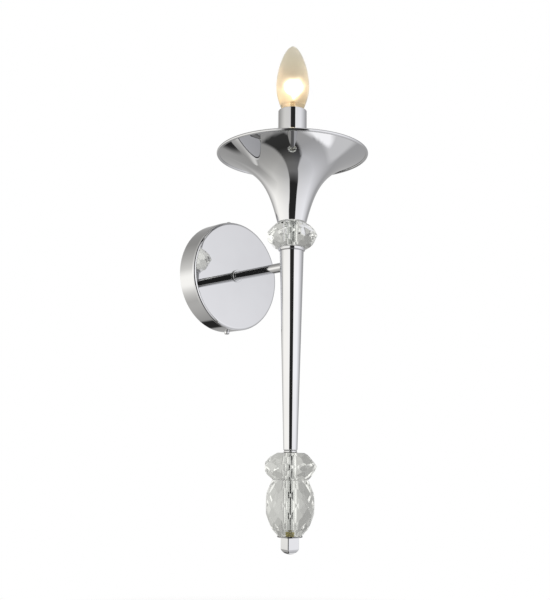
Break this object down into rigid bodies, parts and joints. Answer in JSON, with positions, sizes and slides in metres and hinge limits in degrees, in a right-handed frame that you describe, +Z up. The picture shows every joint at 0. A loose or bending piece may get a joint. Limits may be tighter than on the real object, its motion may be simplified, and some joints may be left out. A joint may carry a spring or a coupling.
{
  "type": "wall sconce",
  "caption": "Chrome candle wall sconce: round canopy, straight arm, tapered stem with cut crystal beads and drop, flared horn and candle sleeve with a screw-in lamp.",
  "frame": {"origin": "centre of the canopy's back, on the wall plane", "axes": "+X to the right as seen from the room, +Y into the wall, +Z up"},
  "size_m": [0.159, 0.1895, 0.5287],
  "materials": {
    "chrome": "polished chrome plate",
    "zinc_steel": "bright zinc plate",
    "brass": "bright machined brass",
    "nickel": "nickel plate",
    "crystal": "cut and polished",
    "lamp_glass": "frosted, warm white",
    "clear_glass": "clear",
    "filament": "drawn wire",
    "clear_plastic": "clear, smooth",
    "black_insulator": "glossy black",
    "holder_plastic": "moulded, off-white",
    "block_plastic": "moulded, translucent white",
    "live_insulation": "brown sleeving",
    "neutral_insulation": "blue sleeving",
    "earth_insulation": "green and yellow sleeving"
  },
  "bodies": {
    "fixture": {"arm_collar": "chrome", "arm_lock_nut": "zinc_steel", "arm_lock_washer": "zinc_steel", "arm_tube": "chrome", "bead_sleeve": "chrome", "candle_sleeve": "chrome", "canopy": "chrome", "contact_leaf": "brass", "crystal_pads": "clear_plastic", "drop_bush": "brass", "drop_washer": "chrome", "earth_screw": "brass", "earth_tag": "nickel", "earth_wire": "earth_insulation", "finial": "chrome", "holder_terminals": "brass", "horn": "chrome", "horn_nut": "zinc_steel", "horn_washer": "zinc_steel", "lampholder": "holder_plastic", "live_wire": "live_insulation", "lower_drop": "crystal", "middle_bead": "crystal", "neutral_wire": "neutral_insulation", "nipple": "zinc_steel", "screw_shell": "brass", "sleeve_seat": "zinc_steel", "stem": "chrome", "stem_foot": "chrome", "stem_hub": "brass", "stem_top_ring": "chrome", "terminal_barrels": "brass", "terminal_block": "block_plastic", "terminal_screws": "zinc_steel", "tie_rod": "zinc_steel", "upper_bead": "crystal", "wall_bracket": "zinc_steel"},
    "lamp_contact": {"bulb_tip": "nickel"},
    "lamp": {"bulb_glass": "lamp_glass", "bulb_cap": "nickel", "bulb_insulator": "black_insulator", "bulb_mount": "clear_glass", "filament": "filament"},
    "top_washer": {"screw_washer_top": "chrome"},
    "top_screw": {"canopy_screw_top": "chrome"},
    "bottom_washer": {"screw_washer_bottom": "chrome"},
    "bottom_screw": {"canopy_screw_bottom": "chrome"}
  },
  "joints": [
    {"name": "lamp_lift", "type": "slide", "parent": "fixture", "child": "lamp_contact", "axis": [0, 0, 1], "range_m": [0, 0.01551]},
    {"name": "lamp_turn", "type": "hinge", "parent": "lamp_contact", "child": "lamp", "pos_m": [0, -0.11, 0.15], "axis": [0, 0, 1], "range_deg": [0, 1981]},
    {"name": "top_screw_travel", "type": "slide", "parent": "fixture", "child": "top_washer", "axis": [0, 0, 1], "range_m": [0, 0.00525]},
    {"name": "top_screw_turn", "type": "hinge", "parent": "top_washer", "child": "top_screw", "pos_m": [0, -0.009, 0.06], "axis": [0, 0, 1], "range_deg": [0, 2701]},
    {"name": "bottom_screw_travel", "type": "slide", "parent": "fixture", "child": "bottom_washer", "axis": [0, 0, -1], "range_m": [0, 0.00525]},
    {"name": "bottom_screw_turn", "type": "hinge", "parent": "bottom_washer", "child": "bottom_screw", "pos_m": [0, -0.009, -0.06], "axis": [0, 0, -1], "range_deg": [0, 2701]}
  ],
  "couplings": [
    {"joint": "lamp_turn", "follows": "lamp_lift", "rad_per_m": 2228.1},
    {"joint": "top_screw_turn", "follows": "top_screw_travel", "rad_per_m": 8976},
    {"joint": "bottom_screw_turn", "follows": "bottom_screw_travel", "rad_per_m": 8976}
  ]
}
